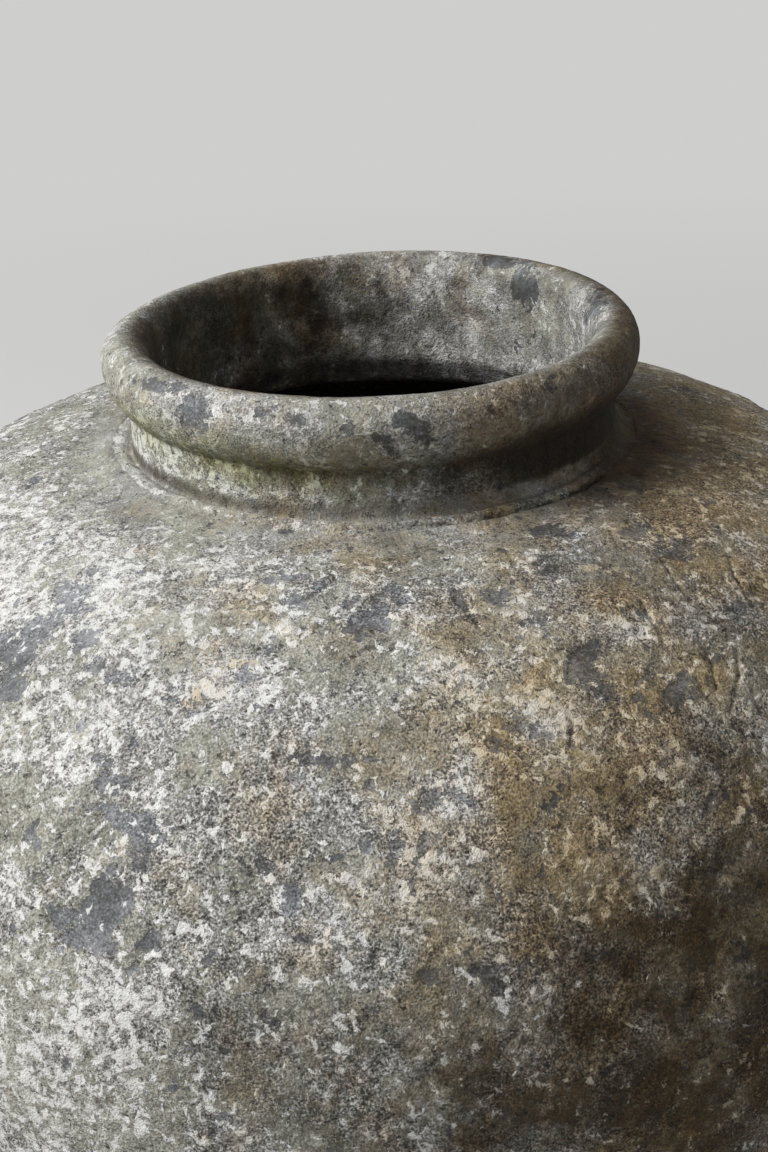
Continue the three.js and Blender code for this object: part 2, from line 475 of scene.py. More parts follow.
def fissures(x, y, marks):
    """1 along each crack, falling to 0 a little beyond its half width."""
    total = np.zeros(x.shape, np.float32)
    for half, *spots in marks:
        points = list(zip(spots[::2], spots[1::2]))
        for (x0, y0), (x1, y1) in zip(points, points[1:]):
            long, tall = x1 - x0, y1 - y0
            along = np.clip(((x - x0) * long + (y - y0) * tall) / (long**2 + tall**2), 0, 1)
            apart = np.hypot(x - x0 - along * long, y - y0 - along * tall)
            np.maximum(total, near(apart, 0, half), out=total)
    return total


# The jar's skin
LOOKS = ("bare", "lime", "warm", "dark", "moss", "cream", "hollow", "calm", "plate")
CRUST = 0.55  # thickness of the crust, in millimetres
CRACK_DEPTH = 3.2  # also in millimetres
FILL_HEIGHT = 0.0033  # of the clay that fills the collar's foot
WORN_EDGE = 6  # millimetres over which the neck's inner foot is worn round
WORN_UNDER = 8  # and how much further down that fades out
WORN_ROUNDING = 16
THROAT_TURN = (0.098, 0.107)  # radii between which the throat's worn edge ends
RIM_LEAN = 0.0022
SOOT_ANGLE, SOOT_HEIGHT = 0.95, 0.21  # the middle of the soot beyond the photograph's right
SMEAR_FROM, SMEAR_TO = (0.95, 1.30), (2.3, 1.9)  # angles over which the collar's smear rises and falls
# Stretches of the photograph, in pixels, over which its edges fade out
TOP_EDGE, BOTTOM_EDGE = (-60, 0), (PHOTO_HEIGHT + 60, PHOTO_HEIGHT - 20)
LEFT_EDGE, RIGHT_EDGE = (-140, -60), (PHOTO_WIDTH + 140, PHOTO_WIDTH + 60)
# Stretches of its x over which its sides begin, and over which the looks of the mouth change: its inner wall
# has more lime and painted light towards the right, and rust and painted shade towards the left
LEFT_SIDE, RIGHT_SIDE, FAR_RIGHT_SIDE = (420, 60), (380, 640), (565, 615)
MOUTH_LIME_AND_LIGHT, MOUTH_RUST_AND_SHADE, MOUTH_PAINTED_SHADE = (320, 450), (400, 300), (235, 440)
BLOTCHES_GROW, BLOTCHES_FADE = (230, 320), (430, 520)
DAMP_SIDE, MOSSY_LIP = (250, 135), (128, 50)  # middle and reach along its x
EDGE_SWING, EDGE_FRAY = 16, 8  # how far the edges of the marks wander, in pixels, widely and finely


class Skin:
    """The seen surface with its relief, and the looks that its materials read.

    Places and reaches are in metres, relief is in millimetres, and x and y are the photograph's
    pixels. The looks run up to 1, and the weights in them are shares of that."""

    def __init__(self, outline):
        self.outline = outline
        base = turned(outline.points, ROUND)
        self.shape = base.shape[:2]
        self.base = base.reshape(-1, 3)
        self.normal = facing(base).reshape(-1, 3)
        self.radius = np.hypot(self.base[:, 0], self.base[:, 1])
        self.way = np.repeat(outline.way, ROUND)
        self.angle = np.tile(-math.pi + 2 * math.pi * np.arange(ROUND) / ROUND, len(outline.way))
        self.project()
        self.divide()
        self.paint()
        self.raise_relief()

    def within(self, *names):
        """1 on the named stretches of the outline, 0 elsewhere."""
        rows = np.zeros(self.shape[0], np.float32)
        for name in names:
            stretch = self.outline.rows[name]
            rows[stretch.start + (stretch.start > 0) : stretch.stop] = 1
        return np.repeat(rows, ROUND)

    def rows(self, name):
        """The skin's rows on a stretch of the outline."""
        stretch = self.outline.rows[name]
        return [Row(*row) for row in zip(self.grid[stretch], self.facing[stretch], self.looks[stretch])]

    def project(self):
        """Where each place lies in the photograph, and whether the photograph shows it."""
        place, right, up, forward = camera_axes()
        offset = self.base - place
        depth = offset @ forward
        x = self.x = PHOTO_WIDTH / 2 + FOCAL_PIXELS * (offset @ right) / depth
        y = self.y = PHOTO_HEIGHT / 2 - FOCAL_PIXELS * (offset @ up) / depth
        towards = -(offset * self.normal).sum(1) / np.linalg.norm(offset, axis=1)
        framed = step(y, *TOP_EDGE) * step(y, *BOTTOM_EDGE)
        framed *= step(x, *LEFT_EDGE) * step(x, *RIGHT_EDGE)
        self.front = step(towards, 0.0, 0.12).astype(np.float32)
        self.seen = (self.front * framed).astype(np.float32)

        # the photograph's left side, limed and painted lighter where the light falls on it, and its right
        # side, sooty and painted darker where shade falls
        self.left = step(x, *LEFT_SIDE)
        self.right = step(x, *RIGHT_SIDE)
        self.far_right = step(x, *FAR_RIGHT_SIDE)

        # places in the photograph shifted about, so that the edges of the marks wander
        p = self.base
        self.mark_x = x + EDGE_SWING * noise(p, 0.03, 3, 2) + EDGE_FRAY * noise(p, 0.009, 33, 3, 0.6)
        self.mark_y = y + EDGE_SWING * noise(p, 0.03, 4, 2) + EDGE_FRAY * noise(p, 0.009, 34, 3, 0.6)

    def divide(self):
        """How far each place belongs to the roll, the mouth, the neck, the collar and the body."""
        self.slab = self.within("base_slab")
        self.inner = self.within("neck_inside", "throat")
        self.roll = self.within("rim_roll")
        self.mouth_side = np.clip(self.inner + self.roll * step(self.way, *self.roll_top()), 0, 1)
        self.outer_roll = self.roll * (1 - self.mouth_side)
        self.crease = self.outline.start("rim_roll")
        self.up_neck = self.way - self.outline.start("neck_ring")
        self.past_foot = self.way - self.outline.end(COURSES[-1])  # the way past the collar's foot
        wander = 0.0022 * noise(self.base, 0.009, 42, 3, 0.6)
        ring = self.within("neck_ring", "neck_collar")
        self.neck = ring * step(self.up_neck + wander, -0.0018, 0.0022)
        self.collar = (ring - self.neck) * step(self.past_foot + wander, 0.0, 0.0016)
        self.body = self.within(*COURSES) + ring - self.neck - self.collar

    def roll_top(self):
        """The stretch of the roll, near its top, over which its outside turns to its inside."""
        rows = self.outline.rows["rim_roll"]
        highest = rows.start + int(np.argmax(self.outline.points[rows, 1]))
        return self.outline.way[highest] - 0.004, self.outline.way[highest] + 0.006

    def drift(self, marks):
        return drifts(self.mark_x, self.mark_y, marks)

    def paint(self):
        """The looks that the materials read, from patterns that several of them share."""
        p = self.base
        self.wide = noise(p, 0.11, 2, 3)
        self.jagged = noise(p, 0.012, 1, 5, 0.62)
        round_and_up = (np.cos(self.angle) * 0.25, np.sin(self.angle) * 0.25, self.way * 0.2)
        self.streaks = noise(np.stack(round_and_up, 1), 0.012, 8, 4, 0.6)
        blotch = noise(p, 0.016, 43, 4, 0.62) * (0.4 + 0.6 * step(self.x, *BLOTCHES_GROW))
        self.blotch = blotch * (1 - 0.5 * step(self.x, *BLOTCHES_FADE))
        self.low = step(p[:, 2], 0.20, 0.05)
        # the lower outside of the roll, which is painted darker as the shade under its bulge
        self.belly = self.outer_roll * step(self.way - self.crease, 0.019, 0.005)
        self.groove = near(self.up_neck, -0.003, 0.0034) * (self.neck + self.collar)
        self.outside = np.clip(-self.past_foot, 0, 1)
        self.band = near(self.outside, 0, 0.017) * self.body
        self.paint_bare()
        self.paint_calm()
        self.paint_lime()
        self.paint_warm()
        self.paint_dark()
        self.paint_moss()

    def paint_bare(self):
        """Bare clay where the crust has come off, smooth plates of crust, cracks and cream plaques."""
        p, seen, body, roll = self.base, self.seen, self.body, self.roll
        x, y = self.mark_x, self.mark_y
        placed = np.maximum(
            patches(x, y, BARE_PATCHES) * body + NOWHERE * (1 - body),
            (patches(x, y, RIM_CHIPS) + 0.12) * roll + NOWHERE * (1 - roll),
        )
        self.placed = np.where(seen > 0.5, placed, NOWHERE)
        scattered = noise(p, 0.05, 5, 5, 0.6) * 3.2 - 1.15 - 0.65 * seen
        small = noise(p, 0.011, 6, 4, 0.65) * 3.0 - 1.15 + 0.5 * self.wide
        quiet = roll + self.inner + self.neck
        bare = np.maximum(self.placed, np.maximum(scattered, small) - 0.5 * quiet) + 0.9 * self.jagged
        kept = self.neck + self.collar + self.outer_roll * (1 - step(self.placed, -1.2, -0.4))
        self.bare = np.clip(bare - 1.5 * np.clip(kept, 0, 1), -1, 1)
        self.plate = np.clip(2.4 * noise(p, 0.034, 41, 4, 0.6) - 0.05 - 0.8 * self.inner, -1, 1)

        crack_x, crack_y = 0.75 * self.x + 0.25 * x, 0.75 * self.y + 0.25 * y
        self.cracked = fissures(crack_x, crack_y, FISSURES) * seen * body
        cream = patches(x, y, CREAM_PLAQUES) * body - (1 - body) + 0.6 * self.jagged
        cream = np.where(seen > 0.5, cream, noise(p, 0.02, 17, 3) * 2.4 - 1.25)
        self.cream = np.clip(cream, -1, 1)

    def paint_calm(self):
        """The smooth skin of slip on the collar, just below it, on the roll and inside the mouth."""
        hollowed = self.collar * step(self.radius, COLLAR_RADIUS - BEAD_WIDTH / 2, NECK_RADIUS + 0.003)
        calm = 0.5 * hollowed + 0.4 * self.collar + self.band * (0.75 + 0.5 * noise(self.base, 0.03, 7, 3))
        calm += 0.75 * self.mouth_side + 0.60 * self.outer_roll
        calm += self.neck * (0.4 - 0.25 * self.left + 0.4 * self.right)
        calm += self.drift(CALM_DRIFTS) * self.seen * (self.body + self.collar)
        self.calm = np.clip(calm, 0, 1)

    def paint_lime(self):
        """Lime, which gathers in drifts and runs down the wall in streaks. It is heavier at the left and on
        the right of the mouth's inner wall, partly as painted light, and thinner at the right, under the
        roll and at the collar's far right, partly as painted shade.
        """
        p, seen, left, right, streaks = self.base, self.seen, self.left, self.right, self.streaks
        # a little more lime at the left, partly as painted light
        lime = 0.53 + (0.6 * self.drift(LIME_DRIFTS) + 0.10 * left) * seen + 0.4 * (1 - seen) * self.wide
        lime += 0.75 * noise(p, 0.03, 9, 4, 0.6) + 0.12 * streaks - 0.22 * self.band * (1 - left)
        lime += self.low * (0.25 * streaks - 0.10)
        rough = 0.55 * noise(p, 0.02, 10, 4, 0.6)
        # the roll, the neck and the collar are painted lighter at the left, where the light falls, and
        # darker at the right and under the roll, where shade falls
        on_roll = 0.60 + 0.18 * left - 0.42 * right + 0.6 * rough - self.belly * right
        on_neck = 0.42 + 1.25 * left - 1.6 * right + (0.6 - 0.4 * right) * streaks + rough
        on_collar = 0.38 + 0.80 * left - 0.55 * self.far_right + 0.5 * rough
        # the mouth's inner wall is limed more towards the right, partly as painted light
        in_mouth = 0.12 + 0.44 * step(self.x, *MOUTH_LIME_AND_LIGHT) + 0.6 * streaks + 1.5 * self.blotch
        lime = lime * self.body + on_roll * self.outer_roll + on_neck * self.neck + on_collar * self.collar
        # less lime in the groove behind the bead at the left, as painted shade
        lime += in_mouth * self.mouth_side + 0.35 * self.slab - 1.1 * self.groove * left
        self.lime = np.clip(lime, -1, 1)

    def paint_warm(self):
        """Warm ochre and rust, mostly at the right."""
        seen, left, right = self.seen, self.left, self.right
        warm = 0.12 + 0.5 * self.wide + 0.5 * noise(self.base, 0.03, 12, 4, 0.6) + 0.1 * (1 - seen)
        warm = warm * (1 - 0.5 * seen) + 0.75 * self.drift(WARM_DRIFTS) * seen * self.body
        warm += (0.50 * right - 0.40 * left) * seen + 0.12 * self.outer_roll
        # the mouth's inner wall is browner towards the left, partly rust and partly painted shade
        warm += self.mouth_side * (0.60 * step(self.x, *MOUTH_RUST_AND_SHADE) - 1.10 * right - 0.15)
        # the collar warmer away from the left, and the neck and the roll's underside browner at the right,
        # partly as painted shade
        warm += 0.12 * self.collar * (1 - left) + 0.3 * (self.neck + self.belly) * right
        self.warm = np.clip(warm, -0.5, 1)

    def paint_dark(self):
        """Soot and damp, with painted shade: at the right, in the crease and under the bulge of the roll, in
        the groove behind the bead, and inside the mouth, most of all on its left.
        """
        p, seen, left, right = self.base, self.seen, self.left, self.right
        dark = 0.08 + 0.35 * noise(p, 0.09, 13, 3) + 0.3 * noise(p, 0.02, 14, 3, 0.6)
        beyond = near(self.angle, SOOT_ANGLE, 0.6) * near(p[:, 2], SOOT_HEIGHT, 0.10)
        # soot drifts, partly painted shade at the right and the bottom
        drift = self.drift(DARK_DRIFTS) * self.front + 0.6 * beyond * (1 - self.front)
        dark = dark * (1 - 0.4 * seen) + drift * (0.8 + 1.1 * noise(p, 0.022, 35, 4, 0.65)) * self.body
        # painted shade on the shoulder just beside the collar at the far right
        beside = near(self.outside, 0, 0.014) * self.body * step(self.angle, SMEAR_TO[0], 1.7)
        dark += 0.5 * beside * self.far_right
        # painted shade on the neck's right
        dark += self.neck * (1.2 * right - 0.25 * self.streaks + 0.10 * (1 - left))
        # painted shade in the groove behind the bead
        dark += self.groove * (0.20 * left + 0.2)
        # painted shade on the collar's far right
        dark += self.collar * (0.08 + 0.78 * self.far_right - 0.10 * right)
        # painted shade in the crease under the roll, less at the left
        dark += 0.50 * near(self.way, self.crease, 0.0075) * (1 - self.inner) * (1 - 0.7 * left)
        # painted shade under the roll's bulge, most at the right
        dark += self.belly * (0.12 + 0.55 * right) * (1 - left)
        chipped = step(self.placed, -0.1, 0.2) * (1 - 0.7 * step(self.placed, 0.3, 0.9))
        # painted shade on the roll's right, and darker clay round its chips
        dark += self.outer_roll * (0.72 * right + 0.22 * chipped)
        # the inside of the mouth is painted darker as shade, least towards the right of its inner wall,
        # where the light falls
        dark += self.mouth_side * (0.80 - 0.74 * step(self.x, *MOUTH_PAINTED_SHADE) - 0.7 * self.blotch)
        dark += 0.35 * self.low * step(noise(p, 0.12, 15, 2), -0.2, 0.5)
        self.dark = np.clip(dark, 0, 1)

    def paint_moss(self):
        """Moss in the shelter of the roll and up its damp left side."""
        damp = near(self.x, *DAMP_SIDE) * self.seen
        damp += (1 - self.seen) * 0.5 * step(noise(self.base, 0.12, 16, 2), 0.0, 0.5)
        shelter = near(self.way, self.crease, 0.010) * (1 - self.inner)
        spread = near(self.way, self.crease + 0.011, 0.009) * self.outer_roll * self.seen
        spread *= 0.38 * damp + 0.45 * near(self.x, *MOSSY_LIP)
        self.moss = np.clip((0.9 * damp * shelter + spread) * (0.8 + 1.2 * self.jagged), 0, 1)

    def crust(self):
        """The crust's relief in millimetres, and how far each place lies in a pit of it."""
        p = self.base
        covered = 1 - step(self.bare, -0.2, 0.3)
        layers = noise(p, 0.03, 22, 4, 0.55) * 4.5
        whole = np.floor(layers)
        terrace = whole + step(layers - whole, 0.42, 0.58)
        flakes = 0.14 + 0.6 * np.clip(drifts(self.x, self.y, FLAKE_ZONES) * self.seen, 0, 1)
        flakes += 0.25 * (1 - self.seen) * step(noise(p, 0.09, 23), 0.0, 0.4)
        grain = 0.42 * noise(p, 0.0055, 24, 2, 0.7) + 0.35 * (0.35 - np.abs(noise(p, 0.011, 25, 2, 0.6)))
        pits = 0.55 * step(noise(p, 0.0065, 26), 0.32, 0.62)
        smooth = 0.15 * noise(p, 0.02, 27, 2)
        cream = 0.5 * step(self.cream, -0.05, 0.12)
        relief = covered * (CRUST + grain - pits + terrace * flakes) + smooth + cream
        return relief, covered * (pits - grain)

    def collar_fill(self, opened):
        """How high the collar's foot is filled with clay, and how upright the surface is moved there.

        The fill lies at the sides, at the back and where the crack has opened. At the right the collar
        is smeared into a fillet between neck and shoulder."""
        collar = self.within("neck_collar")
        height = self.base[:, 2] - SHOULDER_TOP
        smear = step(self.angle, *SMEAR_FROM) * step(self.angle, *SMEAR_TO)
        blend = np.maximum(step(np.abs(self.angle), 0.5, 1.3), 0.55 * step(opened, 0, 0.3)) * (1 - smear)
        climb = np.clip(1 - height / (COLLAR_EDGE + BEAD_WIDTH / 2), 0, 1)
        ledge = (1 - collar) * (self.past_foot < 1e-6) * near(self.past_foot, 0, 0.0065)
        bead_back = COLLAR_RADIUS - BEAD_WIDTH * 0.7, COLLAR_RADIUS - BEAD_WIDTH * 0.5
        bead = collar * step(self.radius, *bead_back)
        share = np.clip((COLLAR_RADIUS - self.radius) / (COLLAR_RADIUS - NECK_RADIUS), 0, 1)
        fillet = (COLLAR_TOP - SHOULDER_TOP) * share**2
        fill = FILL_HEIGHT * blend * climb * (ledge + bead) + smear * collar * (fillet - height)
        return fill, blend * near(self.past_foot, 0, 0.004) + 0.7 * smear * collar

    def throat_flare(self):
        """How far outwards the neck's inner foot is worn, in metres: round over WORN_EDGE, then less."""
        above = (self.base[:, 2] - SHOULDER_TOP) / MM
        edge = np.clip(WORN_EDGE - above, 0, WORN_EDGE)
        under = np.clip(-above, 0, WORN_UNDER)
        flare = edge**2 + 2 * WORN_EDGE * (under - under**2 / WORN_UNDER / 2)
        return flare / WORN_ROUNDING * self.inner * (1 - step(self.radius, *THROAT_TURN)) * MM

    def raise_relief(self):
        """Moves the surface: unevenness, crust, cracks, the collar's foot, worn throat and leaning rim."""
        p = self.base
        coarse = self.body + 0.45 * self.roll + 0.7 * self.inner + 0.3 * self.neck + 0.2 * self.collar
        coarse = np.clip(coarse + 0.6 * self.slab, 0, 1) * (1 - 0.6 * self.calm)
        uneven = 1.1 * noise(p, 0.17, 20, 2) + 0.45 * noise(p * (1, 1, 2), 0.05, 21, 2)
        rough, cavity = self.crust()
        worn = self.collar * 0.9 * noise(p, 0.03, 36, 3, 0.5)
        opened = np.interp(self.x, CRACK_AT, CRACK_OPEN) * self.seen
        opened = opened * np.clip(1 + 0.9 * noise(p, 0.012, 28, 2), 0.2, 1.5)
        crack = opened * near(self.past_foot, 0.0007 * noise(p, 0.01, 29, 2), CRACK_HALF)
        amount = uneven * (1 - self.slab) + rough * coarse + worn - CRACK_DEPTH * crack - 0.9 * self.cracked
        amount *= step(p[:, 2], 0.0, 0.004)

        fill, upright = self.collar_fill(opened)
        outward = self.normal * (1 - upright)[:, None] + upright[:, None] * (0, 0, 1)
        outward /= np.linalg.norm(outward, axis=1, keepdims=True)
        moved = p + outward * (amount * MM)[:, None]
        moved[:, :2] += p[:, :2] * (self.throat_flare() / np.maximum(self.radius, MM))[:, None]
        # the rim stands a little higher at the right than at the left, most of all towards the back
        lean = RIM_LEAN * np.sin(self.angle) * (1 - np.cos(self.angle)) / 2
        moved[:, 2] += fill + lean * step(p[:, 2], SHOULDER_TOP - 0.01, NECK_TOP)
        moved[:, 2] = np.maximum(moved[:, 2], 0)
        self.grid = moved.reshape(*self.shape, 3)
        self.facing = facing(self.grid)
        # how deep each place lies in a pit or crack, which is painted dark, partly as grime and partly as
        # shade
        self.hollow = np.clip(cavity * coarse + 2.0 * crack + 0.8 * self.cracked, 0, 1)
        looks = [getattr(self, look) for look in LOOKS]
        self.looks = np.stack(looks, 1).reshape(*self.shape, len(LOOKS))


# Pieces
INSIDE_UNEVEN = 0.0005
STRIP_MARGIN = 0.02
Row = namedtuple("Row", "places normals looks")  # a row of a ring, with its outward directions


def plain_rows(points, count):
    """Rows of the unlit inside, with a faint unevenness."""
    grid = turned(np.asarray(points), count)
    normal = facing(grid)
    shift = INSIDE_UNEVEN * noise(grid.reshape(-1, 3), 0.03, 40, 3).reshape(grid.shape[:2])
    grid = grid + normal * shift[:, :, None]
    looks = np.zeros((*grid.shape[:2], len(LOOKS)))
    for look, value in (("bare", -1), ("dark", 0.35), ("cream", -1)):
        looks[:, :, LOOKS.index(look)] = value
    return [Row(*row) for row in zip(grid, facing(grid), looks)]


def buried(*points):
    """Rows that close a ring inside its neighbours."""
    radius, height = points[-1]
    return plain_rows([*points, (radius, height + MM)], ROUND)[:-1]


def band(low, high, n, m, at_low, at_high):
    """The faces between a row of n points that starts at index low and one of m points at high.

    Each group of faces comes as its corners, their places round the ring and their heights on it."""
    if n == m:
        j = np.arange(n)
        face = np.stack([low + j, low + (j + 1) % n, high + (j + 1) % n, high + j], 1)
        return [(face, np.stack([j, j + 1, j + 1, j], 1) / n, [at_low, at_low, at_high, at_high])]
    ends = (low, at_low), (high, at_high)
    (wide, at_wide), (fine, at_fine) = ends if n < m else ends[::-1]
    count, total = min(n, m), max(n, m)
    times = total // count
    k, t = np.arange(total), np.arange(count)
    owner, turn = (k + times // 2) // times, t * times + times // 2
    fans = (
        [fine + k, fine + (k + 1) % total, wide + owner % count],
        [k / total, (k + 1) / total, owner / count],
        [at_fine, at_fine, at_wide],
    )
    wedges = (
        [wide + t, fine + turn, wide + (t + 1) % count],
        [t / count, turn / total, (t + 1) / count],
        [at_wide, at_fine, at_wide],
    )
    order = [0, 2, 1] if n < m else [0, 1, 2]
    return [[np.array(of)[order].T for of in group] for group in (fans, wedges)]


def ring(rows, slot, node, strips=4, hidden=0.3, lit=None):
    """A closed ring from rows that run up its outside and down its inside, of which the first are lit."""
    starts = np.cumsum([0] + [len(row.places) for row in rows])
    middle = [(np.linalg.norm(row.places[0, :2]), row.places[:, 2].mean()) for row in rows]
    gaps = np.linalg.norm(np.roll(middle, -1, axis=0) - middle, axis=1)
    gaps[(lit or len(rows)) - 1 :] *= hidden
    height = np.concatenate([[0], np.cumsum(gaps)])
    height /= height[-1]
    groups = []
    for i, row in enumerate(rows):
        after = (i + 1) % len(rows)
        sizes = len(row.places), len(rows[after].places)
        groups += band(starts[i], starts[after], *sizes, height[i], height[i + 1])
    make_piece(rows, groups, slot, node, strips)


def put_in_scene(name, data):
    thing = bpy.data.objects.new(name, data)
    bpy.context.scene.collection.objects.link(thing)
    return thing


def make_piece(rows, groups, slot, node, strips):
    name = node + "_clay"
    mesh = bpy.data.meshes.new(name)
    places, normals, looks = (np.concatenate(part).astype(np.float32) for part in zip(*rows))
    sizes = np.concatenate([np.full(len(face), face.shape[1]) for face, _, _ in groups])
    loops = np.concatenate([face.ravel() for face, _, _ in groups])
    mesh.vertices.add(len(places))
    mesh.vertices.foreach_set("co", places.ravel())
    mesh.loops.add(len(loops))
    mesh.loops.foreach_set("vertex_index", loops.astype(np.int32))
    mesh.polygons.add(len(sizes))
    first_loops = np.concatenate([[0], np.cumsum(sizes)[:-1]])
    mesh.polygons.foreach_set("loop_start", first_loops.astype(np.int32))

    # the texture layout: strips of the round, one above the other, with a margin between them
    layout = []
    for _, across, up in groups:
        strip = np.minimum(np.floor(across.min(1) * strips + 1e-6), strips - 1)[:, None]
        up = strip + STRIP_MARGIN + (1 - 2 * STRIP_MARGIN) * np.array(up)
        layout.append(np.stack([across * strips - strip, up / strips], 2).reshape(-1, 2))
    layout = np.concatenate(layout).astype(np.float32)
    mesh.uv_layers.new(name="OFBake").data.foreach_set("uv", layout.ravel())

    for look, values in zip(LOOKS, looks.T):
        attribute = mesh.attributes.new(look, "FLOAT", "POINT")
        attribute.data.foreach_set("value", values.copy())
    mesh.update()
    mesh.validate()
    mesh.shade_smooth()
    mesh.normals_split_custom_set_from_vertices(normals)
    mesh.materials.append(MATERIALS[slot])
    piece = put_in_scene(name, mesh)
    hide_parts(node)
    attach(piece, "root")


# Materials
FLECK = 0.0019  # a grain of crust
BUMP_DEPTH = 0.0012
# The noises that the crust is made of, from worm to cloud: size, detail, roughness and distortion
SPECKLES = (
    (FLECK, 2.0, 0.65, 0.25),
    (FLECK * 0.45, 1.0, 0.6, 0.0),
    (FLECK * 2.3, 4.0, 0.66, 0.4),
    (FLECK * 5.5, 4.0, 0.66, 0.3),
    (FLECK * 1.6, 3.0, 0.66, 0.3),
    (FLECK * 12, 4.0, 0.62, 0.0),
)
# Colours as they show on a screen, 0 to 255. The ramps give them at their places from 0 to 1.
COOL = (0, 56, 55, 51), (0.25, 101, 100, 95), (0.5, 149, 148, 144), (0.75, 202, 202, 201), (1, 236, 236, 236)
TAWNY = (0, 50, 43, 34), (0.25, 94, 81, 63), (0.5, 147, 131, 106), (0.75, 193, 175, 145), (1, 224, 210, 184)
SLATE = (0.2, 52, 53, 54), (0.5, 98, 100, 103), (0.8, 158, 161, 166)
LIME_COOL, LIME_TAWNY = (231, 231, 229), (212, 196, 166)
CREAM, PIT = (214, 203, 180), (50, 46, 40)
PLATE_STAIN, RUST_STAIN = (251, 250, 238), (243, 226, 202)
# the soot stain also carries the painted shade that the dark look holds
MOSS_STAIN, SOOT_AND_SHADE_STAIN = (214, 216, 166), (120, 108, 91)
WHITE = (1, 1, 1, 1)


def colour(*shown):
    """A colour given as it shows on a screen, turned into light."""
    light = (c / 255 / 12.92 if c < 10.3 else ((c / 255 + 0.055) / 1.055) ** 2.4 for c in shown)
    return (*light, 1)


class Value:
    """A number that a material works out, which can be reckoned with like a plain one."""

    def __init__(self, nodes, socket):
        self.nodes, self.socket = nodes, socket

    def __add__(self, other):
        return self.nodes.calc("ADD", self, other)

    def __mul__(self, other):
        return self.nodes.calc("MULTIPLY", self, other)

    def __sub__(self, other):
        return self.nodes.calc("SUBTRACT", self, other)

    def __rsub__(self, other):
        return self.nodes.calc("SUBTRACT", other, self)

    __radd__, __rmul__ = __add__, __mul__


class Nodes:
    """Short names for the nodes that a material or the world uses."""

    def __init__(self, owner):
        owner.use_nodes = True
        self.tree = owner.node_tree
        self.tree.nodes.clear()
        self.where = self.put("ShaderNodeTexCoord").outputs["Object"]

    def put(self, kind, sockets=(), **settings):
        """A fresh node with its settings, its sockets linked or given their constants."""
        node = self.tree.nodes.new(kind)
        for key, value in settings.items():
            setattr(node, key, value)
        for key, value in dict(sockets).items():
            value = getattr(value, "socket", value)
            if isinstance(value, bpy.types.NodeSocket):
                self.tree.links.new(value, node.inputs[key])
            else:
                node.inputs[key].default_value = value
        return node

    def look(self, name):
        return Value(self, self.put("ShaderNodeAttribute", attribute_name=name).outputs["Fac"])

    def speckle(self, size, detail, roughness, distortion):
        """A noise of 0 on the whole, seldom past a half either way."""
        sockets = {"Vector": self.where, "Scale": 1 / size, "Detail": detail}
        sockets.update({"Roughness": roughness, "Distortion": distortion})
        return Value(self, self.put("ShaderNodeTexNoise", sockets).outputs["Fac"]) - 0.5

    def calc(self, operation, *values):
        return Value(self, self.put("ShaderNodeMath", enumerate(values), operation=operation).outputs[0])

    def edge(self, value, at, soft):
        """1 where the value is over at, with a soft edge."""
        sockets = {"Value": value - at, "From Min": -soft, "From Max": soft}
        node = self.put("ShaderNodeMapRange", sockets, interpolation_type="SMOOTHSTEP")
        return Value(self, node.outputs["Result"])

    def ramp(self, value, stops, brightness):
        node = self.put("ShaderNodeValToRGB", {"Fac": value})
        knots = node.color_ramp.elements
        for index, (at, *shown) in enumerate(stops):
            knot = knots[index] if index < len(knots) else knots.new(at)
            knot.position = at
            knot.color = colour(*(c * brightness for c in shown))
        return node.outputs["Color"]

    def mix(self, share, a, b, blend="MIX"):
        node = self.put("ShaderNodeMix", {0: share, 6: a, 7: b}, data_type="RGBA", blend_type=blend)
        return node.outputs[2]

    def stain(self, shade, share, stain):
        """The shade under a stain that is as strong as the share says."""
        return self.mix(1.0, shade, self.mix(share, WHITE, colour(*stain)), "MULTIPLY")


